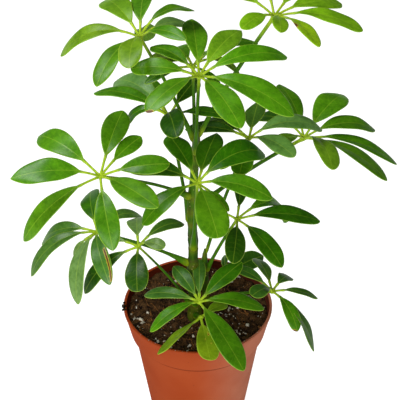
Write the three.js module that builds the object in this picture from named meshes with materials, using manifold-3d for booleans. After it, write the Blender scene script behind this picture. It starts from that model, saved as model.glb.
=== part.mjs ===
// A young dwarf umbrella plant in a terracotta-coloured plastic nursery pot.
// Millimetres, +Z up. The origin is the centre of the pot's flat foot, and -Y is the side that the plant faces.
import * as THREE from "three";
import { mergeVertices } from "three/addons/utils/BufferGeometryUtils.js";
import Module from "manifold-3d";

const wasm = await Module();
wasm.setup();

// Driving dimensions
const CLEARANCE = 0.3; // gap between two pieces that touch
const POT_HEIGHT = 92;
const RIM_RADIUS = 52;
const COLLAR_HEIGHT = 20; // the band below the rim
const COLLAR_FOOT_RADIUS = 47.5;
const BODY_TOP_RADIUS = 44.8;
const FOOT_RADIUS = 34.4;
const WALL = 1.4;
const FLOOR = 2.4;
const POT_SIDES = 36;
const DRAIN = { count: 6, radius: 3.5, ringRadius: 24, sides: 12 };
const SOIL_LEVEL = 86.5;
const SOIL_RELIEF = 1.6;
const SOIL_SIDES = 28;
const SOIL_RINGS = 6;

const HUB_RADIUS = 2.4; // the knob where a leaf's leaflets meet
// Radii of a leaf's petiole above its sheath and at the hub, which a leaf's own girth scales. The sheath is as thick as
// the stem that it clasps, up to sheathLimit, and starts offset of the stem's radius out of its middle line. arch is how
// much steeper a petiole leaves the stem than a straight line to the hub.
const PETIOLE = { sheathLimit: 3.1, base: 1.25, tip: 1, offset: 0.6, arch: 0.25, sides: 6 };
const SHEATH_SHARE = 0.28; // of a petiole's length
const HEEL_SHARE = 0.03; // likewise, where the sheath is widest
const STALK = { halfWidth: 0.8, halfThickness: 0.7 }; // the short stalk of one leaflet
const BLADE_HALF_THICKNESS = 0.35;
const BLADE_STATIONS = [0.12, 0.36, 0.62, 0.86, 1]; // shares of a blade's length
const BLADE_TIP_HALF_WIDTH = 0.9;

// A stem is a list of [x, y, z, radius].
const MAIN_STEM = [
  [-2, -9, 62, 4.6],
  [-2, -9, 84, 5.0],
  [-2.5, -7, 104, 4.0],
  [-3.5, -3.5, 122, 3.4],
  [-3.5, -2.5, 127, 3.8],
  [-3.5, -2, 132, 3.1],
  [-3, -1, 144, 3.0],
  [-3, -0.5, 148, 3.4],
  [-3.5, 0, 154, 2.9],
  [-4, 0, 170, 3.1],
  [-3.5, 0, 184, 2.9],
  [-2.5, -0.5, 200, 2.5],
  [-1.5, -1, 222, 2.4],
  [-1, -1, 228, 2.3],
  [0, -1, 238, 0.6],
];
const SIDE_STEM = [
  [6, 4, 62, 2.3],
  [6, 4, 84, 2.5],
  [5.5, 3.5, 104, 2.2],
  [5, 3, 118, 1.9],
  [4.5, 2.5, 123, 2.2],
  [4.5, 2.5, 130, 1.8],
  [5, 2.5, 138, 0.6],
];
const STEM_SIDES = 10;

// The blades' shapes. width is a share of the blade's length, and a greater point makes the tip sharper.
const SHAPES = {
  round: { width: 0.5, point: 0.45 },
  oval: { width: 0.42, point: 0.58 },
  long: { width: 0.36, point: 0.65 },
  slim: { width: 0.28, point: 0.65 },
  spear: { width: 0.33, point: 0.9 },
  almond: { width: 0.42, point: 0.85 },
};

// One row for each leaf. hub is where its leaflets meet, and from is the height at which its petiole leaves the stem.
// lean is [direction, angle]: the way the umbrella tips, round +Z from +X, and how far it tips from level.
// stalk is the length of each leaflet's own short stalk, and girth scales the petiole's thickness.
// A leaflet is [angle round the hub, length with its stalk, how steeply it starts, how far it bends down, roll, shape].
// Angles are in degrees, and a roll turns a blade about its midrib.
const LEAVES = [
  {
    name: "leaf_top_left", hub: [-35, 0, 303], stem: "main", from: 228, lean: [170, 12], stalk: 12,
    leaflets: [
      [175, 58, 40, 90, 10, "long"], [240, 54, 25, 60, 0, "long"],
      [265, 48, 35, 60, 0, "oval"], [115, 56, 35, 55, 0, "oval"],
      [85, 55, 30, 40, 5, "long"], [30, 44, 50, 95, 0, "oval"],
      [45, 42, 10, 50, -25, "long"], [315, 46, 40, 60, -15, "slim"],
      [90, 40, 10, 80, 15, "round"],
    ],
  },
  {
    name: "leaf_top_right", hub: [47, 12, 311], stem: "main", from: 231, lean: [20, 15], stalk: 13, girth: 1.2,
    leaflets: [
      [235, 39, 25, 50, 10, "oval"], [270, 42, 30, 40, 0, "long"],
      [300, 50, 30, 50, 5, "long"], [345, 57, 35, 50, -5, "oval"],
      [30, 52, 35, 50, -10, "oval"], [65, 54, 30, 40, 5, "long"],
      [105, 50, 30, 40, 10, "long"], [145, 52, 20, 50, 25, "long"],
    ],
  },
  {
    name: "leaf_top_front", hub: [1, -28, 292], stem: "main", from: 219, lean: [280, 12], stalk: 10,
    leaflets: [
      [170, 43, 20, 45, 10, "oval"], [230, 50, 35, 60, -15, "oval"],
      [295, 58, 30, 45, 0, "long"], [335, 65, 25, 60, 0, "long"],
      [25, 64, 30, 70, -5, "slim"], [60, 55, 25, 55, -10, "spear"],
      [95, 54, 20, 40, -10, "long"], [135, 44, 25, 60, 0, "long"],
    ],
  },
  {
    name: "leaf_top_back", hub: [-3, 20, 271], stem: "main", from: 216, lean: [90, 8], stalk: 9,
    leaflets: [
      [25, 50, 45, 70, -10, "slim"], [345, 36, 50, 110, 0, "long"],
      [110, 40, 20, 45, 15, "oval"], [150, 36, 20, 50, 30, "oval"],
      [65, 24, 25, 40, 0, "slim"], [305, 30, 15, 50, 10, "oval"],
      [200, 34, 10, 45, 15, "long"],
    ],
  },
  {
    name: "leaf_upper_left", hub: [-18.7, 8, 241], stem: "main", from: 162, lean: [180, 8], stalk: 11,
    leaflets: [
      [152, 59, 42, 66, 0, "slim"], [130, 62, 45, 80, 15, "long"],
      [176, 35, 58, 130, 8, "round"], [280, 50, 50, 70, -20, "oval"],
      [335, 46, 30, 45, 5, "long"], [55, 36, 25, 20, -30, "round"],
      [110, 46, 25, 35, -10, "long"],
    ],
  },
  {
    name: "leaf_left", hub: [-60, -42, 229], stem: "main", from: 184, lean: [250, 22], stalk: 14, girth: 0.9,
    leaflets: [
      [189, 58, 48, 62, 0, "almond"], [138, 62, 34, 78, 5, "long"],
      [77, 54, 13, 32, -10, "oval"], [55, 42, 5, 30, -15, "oval"],
      [0, 46, 30, 40, -10, "oval"], [315, 61, 40, 40, 10, "long"],
      [280, 55, 25, 60, 0, "long"], [210, 67, 15, 70, 0, "slim"],
    ],
  },
  {
    name: "leaf_front", hub: [0, -48, 228], stem: "main", from: 142, lean: [270, 15], stalk: 9,
    leaflets: [
      [115, 45, 25, 50, -5, "oval"], [75, 48, 15, 40, 10, "almond"],
      [35, 60, 45, 105, -10, "long"], [345, 50, 35, 70, -5, "long"],
      [285, 49, 30, 50, 5, "round"], [315, 28, 15, 45, 10, "long"],
      [220, 47, 30, 75, -15, "oval"], [165, 48, 35, 70, 5, "long"],
    ],
  },
  {
    name: "leaf_right", hub: [71, 32, 209], stem: "main", from: 172, lean: [10, 18], stalk: 12, girth: 1.2,
    leaflets: [
      [60, 60, 55, 75, 5, "almond"], [20, 57, 50, 75, -5, "long"],
      [355, 68, 30, 55, 0, "slim"], [325, 67, 30, 50, 5, "long"],
      [285, 54, 45, 70, 5, "oval"], [110, 55, 30, 40, 0, "long"],
      [135, 50, 20, 75, 25, "long"], [230, 38, 30, 45, -5, "oval"],
    ],
  },
  {
    name: "leaf_right_inner", hub: [33, 4, 227], stem: "side", from: 134, lean: [0, 5], stalk: 9,
    leaflets: [
      [80, 42, 15, 20, 15, "almond"], [165, 44, 20, 50, 10, "long"],
      [130, 42, 10, 40, 10, "long"], [310, 44, 40, 55, -10, "oval"],
      [15, 55, 45, 85, -5, "long"], [245, 46, 25, 45, -10, "long"],
      [260, 38, 10, 30, -10, "round"],
    ],
  },
  {
    name: "leaf_right_low", hub: [26, -8, 171], stem: "side", from: 119, lean: [340, 12], stalk: 11,
    leaflets: [
      [5, 58, 30, 50, 0, "long"], [305, 51, 20, 40, -10, "long"],
      [265, 45, 20, 40, 10, "oval"], [85, 45, 15, 40, -10, "slim"],
      [40, 68, 35, 120, 0, "slim"], [150, 30, 5, 40, 10, "long"],
    ],
  },
  {
    name: "leaf_left_low", hub: [-67, -5, 158], stem: "main", from: 129, lean: [190, 20], stalk: 10,
    leaflets: [
      [165, 51, 35, 85, 5, "long"], [200, 60, 40, 95, 5, "slim"],
      [250, 60, 30, 95, -10, "slim"], [280, 53, 35, 90, 0, "slim"],
      [100, 53, 25, 55, 10, "long"], [50, 44, 10, 75, -30, "slim"],
      [200, 26, 10, 70, 20, "long"],
    ],
  },
  {
    name: "leaf_left_inner", hub: [-39, -22, 159], stem: "main", from: 98, lean: [220, 10], stalk: 9, girth: 0.75,
    leaflets: [
      [95, 37, 15, 50, 0, "round"], [40, 42, 30, 80, -20, "slim"],
      [325, 27, 60, 75, -10, "round"], [270, 40, 25, 60, 0, "round"],
      [200, 52, 5, 70, 20, "slim"], [155, 30, 20, 50, 0, "slim"],
    ],
  },
  {
    name: "leaf_soil_front", hub: [1, -32, 120], stem: "main", from: 100, lean: [275, 12], stalk: 6,
    leaflets: [
      [160, 43, 15, 60, 5, "slim"], [215, 43, 35, 80, -10, "slim"],
      [120, 36, 20, 40, 15, "long"], [90, 38, 15, 30, 10, "slim"],
      [45, 42, 25, 30, -5, "long"], [355, 46, 30, 65, 10, "long"],
      [300, 59, 5, 25, 15, "long"],
    ],
  },
  {
    name: "leaf_soil_small", hub: [2, -28, 103], stem: "main", from: 91, lean: [270, 10], stalk: 6,
    leaflets: [
      [280, 37, 5, 10, 15, "round"], [225, 41, 5, 20, -30, "slim"],
      [45, 27, 5, 40, -5, "oval"],
    ],
  },
  {
    name: "leaf_rim_right", hub: [51, -10, 111], stem: "side", from: 92, lean: [350, 10], stalk: 8,
    leaflets: [
      [60, 30, 20, 60, -5, "round"], [10, 36, 15, 50, 0, "slim"],
      [305, 36, 20, 75, 0, "oval"], [320, 53, 5, 70, 20, "slim"],
      [230, 30, 55, 65, 10, "round"], [145, 36, 25, 50, 5, "long"],
      [105, 40, 20, 50, -10, "long"],
    ],
  },
  {
    name: "leaf_rim_back", hub: [19, 23, 97], stem: "side", from: 98, lean: [60, 10], stalk: 7,
    leaflets: [
      [50, 46, 15, 30, -40, "long"], [245, 26, 25, 30, 0, "oval"],
      [90, 28, 25, 40, 35, "slim"],
    ],
  },
];

const COLOURS = { pot: 0xb0522f, soil: 0x33261a, stem: 0x56671f, leaf: 0x3f7a1e };

// Solids

// A geometry as a manifold solid.
function solidOf(geometry) {
  const bare = geometry.clone();
  bare.deleteAttribute("normal");
  bare.deleteAttribute("uv");
  const merged = mergeVertices(bare, 1e-4);
  return new wasm.Manifold(
    new wasm.Mesh({
      numProp: 3,
      vertProperties: merged.attributes.position.array,
      triVerts: new Uint32Array(merged.index.array),
    }),
  );
}

function geometryOf(solid) {
  const { numProp, vertProperties, triVerts } = solid.getMesh();
  const positions = new Float32Array(triVerts.length * 3);
  triVerts.forEach((vertex, corner) => {
    for (let axis = 0; axis < 3; axis += 1) positions[corner * 3 + axis] = vertProperties[vertex * numProp + axis];
  });
  const geometry = new THREE.BufferGeometry().setAttribute("position", new THREE.BufferAttribute(positions, 3));
  geometry.computeVertexNormals();
  return geometry;
}

// Joins rings of points, all of one count, into a closed skin. The sides in mirrored are split along the other diagonal.
function loft(rings, mirrored = []) {
  const count = rings[0].length;
  const positions = rings.flat().flatMap((point) => point.toArray());
  const index = [];
  for (let ring = 0; ring < rings.length - 1; ring += 1) {
    for (let side = 0; side < count; side += 1) {
      const a = ring * count + side;
      const b = ring * count + ((side + 1) % count);
      const c = a + count;
      const d = b + count;
      index.push(...(mirrored.includes(side) ? [a, b, c, b, d, c] : [a, b, d, a, d, c]));
    }
  }
  const last = (rings.length - 1) * count;
  for (let side = 1; side < count - 1; side += 1) {
    index.push(0, side + 1, side);
    index.push(last, last + side, last + side + 1);
  }
  const geometry = new THREE.BufferGeometry();
  geometry.setAttribute("position", new THREE.Float32BufferAttribute(positions, 3));
  geometry.setIndex(index);
  return geometry;
}

// A round tube through points, each with its own radius.
function taperedTube(points, radii, sides) {
  const curve = new THREE.CatmullRomCurve3(points);
  const rings = points.map((point, i) => {
    const tangent = curve.getTangent(i / (points.length - 1));
    const across = new THREE.Vector3(0, 1, 0).cross(tangent).normalize();
    const along = tangent.clone().cross(across);
    return Array.from({ length: sides }, (_, side) => {
      const angle = (side / sides) * 2 * Math.PI;
      return point
        .clone()
        .addScaledVector(across, Math.cos(angle) * radii[i])
        .addScaledVector(along, Math.sin(angle) * radii[i]);
    });
  });
  return loft(rings);
}

// Pot and soil

// Outer and inner profile as [radius, height], from the middle of the foot up to the rim and back down inside.
function potProfile() {
  const collarFoot = POT_HEIGHT - COLLAR_HEIGHT;
  return [
    [0, 0],
    [FOOT_RADIUS - 2.6, 0],
    [FOOT_RADIUS - 0.8, 0.8],
    [FOOT_RADIUS, 2.6],
    [BODY_TOP_RADIUS, collarFoot - 1],
    [COLLAR_FOOT_RADIUS - 0.4, collarFoot],
    [COLLAR_FOOT_RADIUS, collarFoot + 0.6],
    [RIM_RADIUS - 0.4, POT_HEIGHT - 1.6],
    [RIM_RADIUS, POT_HEIGHT - 0.9],
    [RIM_RADIUS - 0.4, POT_HEIGHT],
    [RIM_RADIUS - 1.7, POT_HEIGHT],
    [RIM_RADIUS - 2.1, POT_HEIGHT - 1.6],
    [COLLAR_FOOT_RADIUS - WALL, collarFoot + 1.2],
    [BODY_TOP_RADIUS - WALL, collarFoot - 1],
    [FOOT_RADIUS - WALL, FLOOR + 2.4],
    [FOOT_RADIUS - WALL - 1.8, FLOOR],
    [0, FLOOR],
  ];
}

// The radius of the pot's inside at a height above its floor.
function insideRadius(height) {
  const inner = potProfile().slice(11, 16).reverse();
  const above = inner.findIndex(([, h]) => h >= height);
  if (above <= 0) return inner[0][0];
  const [r0, h0] = inner[above - 1];
  const [r1, h1] = inner[above];
  return r0 + ((r1 - r0) * (height - h0)) / (h1 - h0);
}

function lathe(profile, sides) {
  return new THREE.LatheGeometry(profile.map(([r, h]) => new THREE.Vector2(r, h)), sides).rotateX(Math.PI / 2);
}

function pot() {
  let solid = solidOf(lathe(potProfile(), POT_SIDES));
  for (let i = 0; i < DRAIN.count; i += 1) {
    const angle = ((i + 0.5) / DRAIN.count) * 2 * Math.PI;
    const hole = new THREE.CylinderGeometry(DRAIN.radius, DRAIN.radius, FLOOR * 3, DRAIN.sides)
      .rotateX(Math.PI / 2)
      .translate(Math.cos(angle) * DRAIN.ringRadius, Math.sin(angle) * DRAIN.ringRadius, 0);
    solid = solid.subtract(solidOf(hole));
  }
  return solid;
}

// How far the soil's surface stands above or below its level at a place.
function soilRelief(x, y) {
  return (
    SOIL_RELIEF *
    (0.45 * Math.sin(x * 0.19 + 1.3) * Math.cos(y * 0.16 - 0.4) +
      0.35 * Math.sin(x * 0.41 - y * 0.33 + 2.1) +
      0.3 * Math.cos(x * 0.27 + y * 0.52))
  );
}

// Rings up the side from the floor, then inwards over the surface to the middle.
function soil() {
  const sideHeights = [FLOOR + CLEARANCE, FLOOR + 3, POT_HEIGHT - COLLAR_HEIGHT - 1, POT_HEIGHT - COLLAR_HEIGHT + 1.4];
  const ring = (radius, heightAt) =>
    Array.from({ length: SOIL_SIDES }, (_, side) => {
      const angle = (side / SOIL_SIDES) * 2 * Math.PI;
      const x = Math.cos(angle) * radius;
      const y = Math.sin(angle) * radius;
      return new THREE.Vector3(x, y, heightAt(x, y));
    });
  const rings = sideHeights.map((h) => ring(insideRadius(h) - 2 * CLEARANCE, () => h));
  const edge = insideRadius(SOIL_LEVEL - SOIL_RELIEF) - 2 * CLEARANCE;
  for (let i = 0; i < SOIL_RINGS; i += 1) {
    rings.push(ring(edge * (1 - i / SOIL_RINGS), (x, y) => SOIL_LEVEL + soilRelief(x, y)));
  }
  return solidOf(loft(rings));
}

// Stems

function stem(path, extra = 0) {
  const points = path.map(([x, y, z]) => new THREE.Vector3(x, y, z));
  return solidOf(taperedTube(points, path.map((row) => row[3] + extra), STEM_SIDES));
}

// The point on a stem's middle line at a height, and the stem's radius there.
function onStem(path, height) {
  const above = path.findIndex(([, , z]) => z > height);
  const low = new THREE.Vector4(...path[above - 1]);
  const high = new THREE.Vector4(...path[above]);
  const { x, y, z, w } = low.lerp(high, (height - low.z) / (high.z - low.z));
  return { middle: new THREE.Vector3(x, y, z), radius: w };
}

// Leaves

// An umbrella's axis, and the two directions in its disc that angle 0 and angle 90 point to.
function umbrellaFrame([direction, angle]) {
  const turn = THREE.MathUtils.degToRad(direction);
  const tip = THREE.MathUtils.degToRad(angle);
  const axis = new THREE.Vector3(Math.sin(tip) * Math.cos(turn), Math.sin(tip) * Math.sin(turn), Math.cos(tip));
  const zero = new THREE.Vector3(1, 0, 0).addScaledVector(axis, -axis.x).normalize();
  return { axis, zero, ninety: axis.clone().cross(zero) };
}

// Half the width of a blade at a share of its length, as a share of its greatest: a wedge at the foot, widest past the
// middle.
function outline(share, point) {
  const foot = 0.9;
  const shape = (s) => s ** foot * (1 - s) ** point;
  return shape(share) / shape(foot / (foot + point));
}

// One leaflet with its stalk: it leaves the hub outwards and bends down evenly to its tip.
function leaflet(hub, frame, stalk, [angle, length, start, droop, roll, shape]) {
  const { width, point } = SHAPES[shape];
  const turn = THREE.MathUtils.degToRad(angle);
  const out = frame.zero.clone().multiplyScalar(Math.cos(turn)).addScaledVector(frame.ninety, Math.sin(turn));
  const side = out.clone().cross(frame.axis);
  const rise = THREE.MathUtils.degToRad(start);
  const bend = THREE.MathUtils.degToRad(droop);
  const rolled = THREE.MathUtils.degToRad(roll);
  const bladeLength = length - stalk;
  const halfWidth = (bladeLength * width) / 2;
  // The even bend is a circle's arc, so a place along it has a formula.
  const at = (distance) => {
    const heading = rise - (bend * distance) / length;
    const radius = length / bend;
    const up = out.clone().multiplyScalar(-Math.sin(heading)).addScaledVector(frame.axis, Math.cos(heading));
    const centre = hub
      .clone()
      .addScaledVector(out, radius * Math.sin(rise))
      .addScaledVector(frame.axis, -radius * Math.cos(rise));
    return {
      middle: centre.addScaledVector(up, radius),
      sideways: side.clone().multiplyScalar(Math.cos(rolled)).addScaledVector(up, Math.sin(rolled)),
      normal: up.clone().multiplyScalar(Math.cos(rolled)).addScaledVector(side, -Math.sin(rolled)),
    };
  };
  const section = (distance, half, thickness, fold) => {
    const { middle, sideways, normal } = at(distance);
    const corner = (across, lift) => middle.clone().addScaledVector(sideways, across).addScaledVector(normal, lift);
    return [
      corner(-half, fold + thickness),
      corner(0, thickness),
      corner(half, fold + thickness),
      corner(half, fold - thickness),
      corner(0, -thickness),
      corner(-half, fold - thickness),
    ];
  };
  const rings = [0.3, stalk].map((distance) => section(distance, STALK.halfWidth, STALK.halfThickness, 0));
  BLADE_STATIONS.forEach((share) => {
    const half = Math.max(halfWidth * outline(share, point), BLADE_TIP_HALF_WIDTH);
    const fold = half * (0.3 - 0.34 * share);
    rings.push(section(stalk + share * bladeLength, half, BLADE_HALF_THICKNESS, fold));
  });
  return solidOf(loft(rings, [1, 4]));
}

// The long stalk from a place on a stem to the hub. It widens to a sheath at the stem, with a rounded heel.
function petiole({ middle, radius }, hub, girth = 1) {
  const outward = new THREE.Vector3(hub.x - middle.x, hub.y - middle.y, 0).normalize();
  const start = middle.clone().addScaledVector(outward, radius * PETIOLE.offset);
  const span = hub.clone().sub(start);
  const reach = span.length() / 3;
  const straight = span.clone().normalize();
  const leaving = straight.clone().add(new THREE.Vector3(0, 0, PETIOLE.arch)).normalize();
  const arriving = straight.clone().sub(new THREE.Vector3(0, 0, PETIOLE.arch / 2)).normalize();
  const curve = new THREE.CubicBezierCurve3(
    start,
    start.clone().addScaledVector(leaving, reach),
    hub.clone().addScaledVector(arriving, -reach),
    hub,
  );
  const base = PETIOLE.base * girth;
  const tip = PETIOLE.tip * girth;
  const sheath = Math.min(radius, PETIOLE.sheathLimit);
  const shares = [0, HEEL_SHARE, 0.13, SHEATH_SHARE, 0.52, 0.76, 1];
  const radii = shares.map((share) => {
    const flare = Math.max(0, 1 - share / SHEATH_SHARE) ** 1.3;
    const heel = share < HEEL_SHARE ? 0.6 : 1;
    return (THREE.MathUtils.lerp(base, tip, share) + (sheath - base) * flare) * heel;
  });
  return solidOf(taperedTube(shares.map((share) => curve.getPoint(share)), radii, PETIOLE.sides));
}

function leaf(row, stems) {
  const hub = new THREE.Vector3(...row.hub);
  const frame = umbrellaFrame(row.lean);
  const knob = new THREE.SphereGeometry(HUB_RADIUS, 6, 4).rotateX(Math.PI / 2).translate(...row.hub);
  const joined = wasm.Manifold.union([
    solidOf(knob),
    petiole(onStem(stems[row.stem].path, row.from), hub, row.girth),
    ...row.leaflets.map((entry) => leaflet(hub, frame, row.stalk, entry)),
  ]);
  const cut = Object.values(stems).reduce((solid, { space }) => solid.subtract(space), joined);
  const pieces = cut.decompose().sort((a, b) => b.volume() - a.volume());
  return pieces[0];
}

// Assembly

const plant = new THREE.Group();
plant.name = "potted_umbrella_plant";

function add(name, solid, colour, roughness) {
  const material = new THREE.MeshStandardMaterial({ color: colour, roughness, metalness: 0 });
  const mesh = new THREE.Mesh(geometryOf(solid), material);
  mesh.name = name;
  plant.add(mesh);
}

const stems = {
  main: { path: MAIN_STEM, space: stem(MAIN_STEM, CLEARANCE) },
  side: { path: SIDE_STEM, space: stem(SIDE_STEM, CLEARANCE) },
};

add("pot", pot(), COLOURS.pot, 0.5);
add("soil", soil().subtract(stems.main.space).subtract(stems.side.space), COLOURS.soil, 1);
add("stem_main", stem(MAIN_STEM), COLOURS.stem, 0.6);
add("stem_side", stem(SIDE_STEM), COLOURS.stem, 0.6);
LEAVES.forEach((row) => add(row.name, leaf(row, stems), COLOURS.leaf, 0.35));

export default plant;
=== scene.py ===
import math
import random

import bmesh
import bpy
from mathutils import Matrix, Vector, noise


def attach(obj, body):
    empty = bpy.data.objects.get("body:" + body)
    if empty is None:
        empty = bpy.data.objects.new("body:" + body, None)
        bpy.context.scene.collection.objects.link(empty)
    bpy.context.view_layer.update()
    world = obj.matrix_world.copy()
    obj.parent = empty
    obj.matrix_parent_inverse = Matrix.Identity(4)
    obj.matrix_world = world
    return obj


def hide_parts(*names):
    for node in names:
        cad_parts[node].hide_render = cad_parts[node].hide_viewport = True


# The looks of a young dwarf umbrella plant in a terracotta-coloured nursery pot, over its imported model.
# The frame is the model's, with +Z up and the origin under the pot. Sizes are in millimetres up to the
# moment that a mesh is made. The floor under the pot, the lamps and the camera are in metres.
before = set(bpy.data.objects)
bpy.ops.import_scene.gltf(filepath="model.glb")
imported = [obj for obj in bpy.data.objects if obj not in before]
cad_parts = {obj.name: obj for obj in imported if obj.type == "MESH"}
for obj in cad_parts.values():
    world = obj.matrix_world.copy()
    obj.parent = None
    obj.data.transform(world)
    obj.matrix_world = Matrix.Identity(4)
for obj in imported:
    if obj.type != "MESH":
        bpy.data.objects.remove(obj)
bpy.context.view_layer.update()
MM = 0.001

# Real sizes, the same as the solids have
POT_HEIGHT = 92
RIM_RADIUS = 52
COLLAR_HEIGHT = 20
COLLAR_FOOT = POT_HEIGHT - COLLAR_HEIGHT
COLLAR_FOOT_RADIUS = 47.5
INNER_COLLAR_FOOT = COLLAR_FOOT + 1.2
BODY_TOP = COLLAR_FOOT - 1
BODY_TOP_RADIUS = 44.8
FOOT_RADIUS = 34.4
FOOT_BEVEL_HEIGHT = 2.6
WALL = 1.4
FLOOR = 2.4
FLOOR_BEVEL = {"width": 1.8, "height": 2.4}
MOUTH = {"radius": RIM_RADIUS - 2.1, "height": POT_HEIGHT - 1.6}
DRAIN = {"count": 6, "radius": 3.5, "ring_radius": 24}
SOIL_LEVEL = 86.5
SOIL_RELIEF = 1.6
HUB_RADIUS = 2.4
# base and tip are a petiole's radii, which a leaf's girth scales. It starts offset of the stem's radius out
# of the middle, and arch makes it leave more steeply. The sheath and its heel are shares of its length.
PETIOLE = {"sheath_limit": 3.1, "base": 1.25, "tip": 1, "offset": 0.6, "arch": 0.25}
SHEATH_SHARE = 0.28
HEEL_SHARE = 0.03
STALK = {"start": 0.3, "half_width": 0.8, "half_thickness": 0.7}

# Finer sizes, for what only this script shows
POT_SIDES = 144
DRAIN_SIDES = 32
ROUNDING_STEPS = 6
NEAR_AXIS = 0.01
FOOT_BEVEL_WIDTH = 0.9
LIP = {"width": 1.9, "height": 1.5, "overhang": 0.5, "root": 2.2}
# Where the body's outside turns below the collar, as (inside BODY_TOP_RADIUS, below COLLAR_FOOT)
NECK = ((0.5, 4.2), (0.4, 3))
# The painted shadow in the corner under the collar, and how dark it is
COLLAR_SHADOW = {"height": COLLAR_FOOT - 1.8, "reach": 1.6, "depth": 0.6}
SOIL_SIDES = 200
SOIL_RINGS = 84
SOIL_SIDE_HEIGHTS = (FLOOR + 0.3, FLOOR + 3, 40, BODY_TOP, COLLAR_FOOT + 1.4, 80)
SOIL_GAP = {"side": 0.4, "surface": 0.25}

STEM_SIDES = 28
STEM_STEP = 1.1
STEM_SMOOTHING = 6
BARK = {"thickness": 0.25, "ring": 0.22, "knobs": 0.12, "flutes": 0.05}
# A scar lies round a stem where each petiole leaves it, and where that is above bare_foot, another lies
# a drop below.
SCAR = {"reach": 1.3, "seat_reach": 3, "drop": 9, "bare_foot": 110}
# The dark low stem is partly its own older bark and partly painted shade under the leaves.
# Heights between which a stem turns from woody to green, and from dark green to light
WOODY_TO_GREEN = (86, 135)
DARK_TO_LIGHT = (130, 220)

PETIOLE_SIDES = 14
PETIOLE_STEPS = 60
STALK_STEPS = 9
# How much a leaflet's stalk swells at the hub and at its blade, and how far from each. It swells less in
# thickness than in width, by the flatness.
SWELLING = {"hub": 0.45, "hub_reach": 2.2, "blade": 0.25, "blade_reach": 1.6, "flatness": 0.6}
# neck_share and start_share are shares of a blade's length, edge_share of its thickness, groove_share of
# how far the midrib stands out, and midrib_reach of the half width.
BLADE = {
    "half_thickness": 0.24, "tip_half_width": 0.12, "neck_share": 0.12, "start_share": 0.1,
    "edge_share": 0.18, "midrib": 0.32, "midrib_reach": 0.1, "groove_share": 0.25,
}
# The phase of the ripple in a blade's edges, along it and from one edge to the other, in radians
RIPPLE = {"phase_along": 11, "phase_across": 1.7}
# Places from a blade's midrib to its edge, as shares, closer together where its section turns faster
ACROSS = (0, 0.06, 0.2, 0.42, 0.66, 0.88, 1)
EDGE_TO_EDGE = [-u for u in reversed(ACROSS[1:])] + list(ACROSS)
# Places along a blade, as shares, closer together towards its ends
BLADE_STEPS = 26
ALONG = [0.5 - 0.5 * math.cos(math.pi * step / BLADE_STEPS) for step in range(BLADE_STEPS + 1)]

# Loose things on the soil and the rim. A grain is at least as large as least, and at most range larger.
CRUMBS = {"count": 1100, "least": 0.9, "range": 3.2, "inset": 1.6}
RIM_CRUMBS = ((184, 6.0), (188, 4.4), (180, 3.0))  # as (angle in degrees, size)
PERLITE = {"count": 110, "least": 0.7, "range": 2.4, "inset": 2, "clump_count": 9, "clump_least": 1.5}
# Where white grains lie close together, as (x, y, spread)
PERLITE_CLUMPS = (
    (18.5, -5, 2.5), (25, 2, 2.5), (30.5, -22, 3), (24, 31, 2), (28, 36, 1.5), (-40, -14, 3),
    (-22, -36, 2.5),
)
RIM_SPECKS = {"count": 26, "from": math.radians(215), "to": math.radians(330)}
FIBRES = {"count": 120, "points": 9, "sides": 5, "above_soil": 0.45, "inset": 9}

# Floor, lamps and camera, in metres, degrees and watts. A lamp is (place, size, power).
GROUND_REACH = 6
LAMP_AIM = (0, 0, 0.18)
LAMPS = {
    "top_left": ((-0.5, 0.25, 1.15), 0.5, 9),
    "front": ((-0.25, -1.15, 0.75), 0.7, 14),
    "front_left": ((-0.8, -0.9, 0.8), 0.8, 3),
    "front_right": ((0.9, -0.7, 0.6), 0.5, 2.5),
}
WORLD_STRENGTH = 0.06
# The sensor's width and the lens are in millimetres.
CAMERA = {"elevation": 35.66, "distance": 0.9, "aim": (0.00147, 0, 0.18108), "sensor": 36, "lens": 122.3}


def srgb(code):
    """A hex colour as linear red, green, blue and alpha."""
    levels = [int(code[i : i + 2], 16) / 255 for i in (0, 2, 4)]
    return [c / 12.92 if c <= 0.04045 else ((c + 0.055) / 1.055) ** 2.4 for c in levels] + [1.0]


# Colours, from their sRGB codes
# The leaflets' tones hold painted light and shade: some are paler or darker for where a leaflet sits.
# The slate and silver tones are greyer and paler for a painted sheen.
TONES = {
    "bright": srgb("98BC16"), "lime": srgb("7AAC14"), "pale": srgb("6E9A1C"), "fresh": srgb("528A0E"),
    "green": srgb("487E0A"), "forest": srgb("366C06"), "deep": srgb("2A5408"), "moss": srgb("3E681E"),
    "sage": srgb("487428"), "slate_sheen": srgb("6A8A48"), "silver_sheen": srgb("648E42"), "olive": srgb("4E6C0E"),
    "yellow": srgb("80A018"),
}
SHEATH_TINT = srgb("849410")
STALK_TINT = srgb("9CB626")
PETIOLE_TINT = srgb("3C6808")
VEIN = srgb("A6C23A")
UNDERSIDE = srgb("6F8A3C")
YELLOWED = srgb("A89A2E")
BROWNED = srgb("5A3A16")
STEM_TINTS = {"low": srgb("2E5206"), "high": srgb("3E660A"), "woody": srgb("343C0E")}
PORE = srgb("A79A62")
SCAR_BROWN = srgb("4A3C1C")
CLAY = {"dark": srgb("8C3613"), "light": srgb("943E1A")}
# The paler colour of a painted sheen on the pot's right side
CLAY_SHEEN = srgb("C09078")
CLAY_SPECK = srgb("6A2E1C")
CLAY_SHADE = srgb("3C120A")
EARTH = {"dark": srgb("160C06"), "light": srgb("46301A"), "speck": srgb("84603A")}
PERLITE_STAIN = srgb("A99A80")

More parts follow.
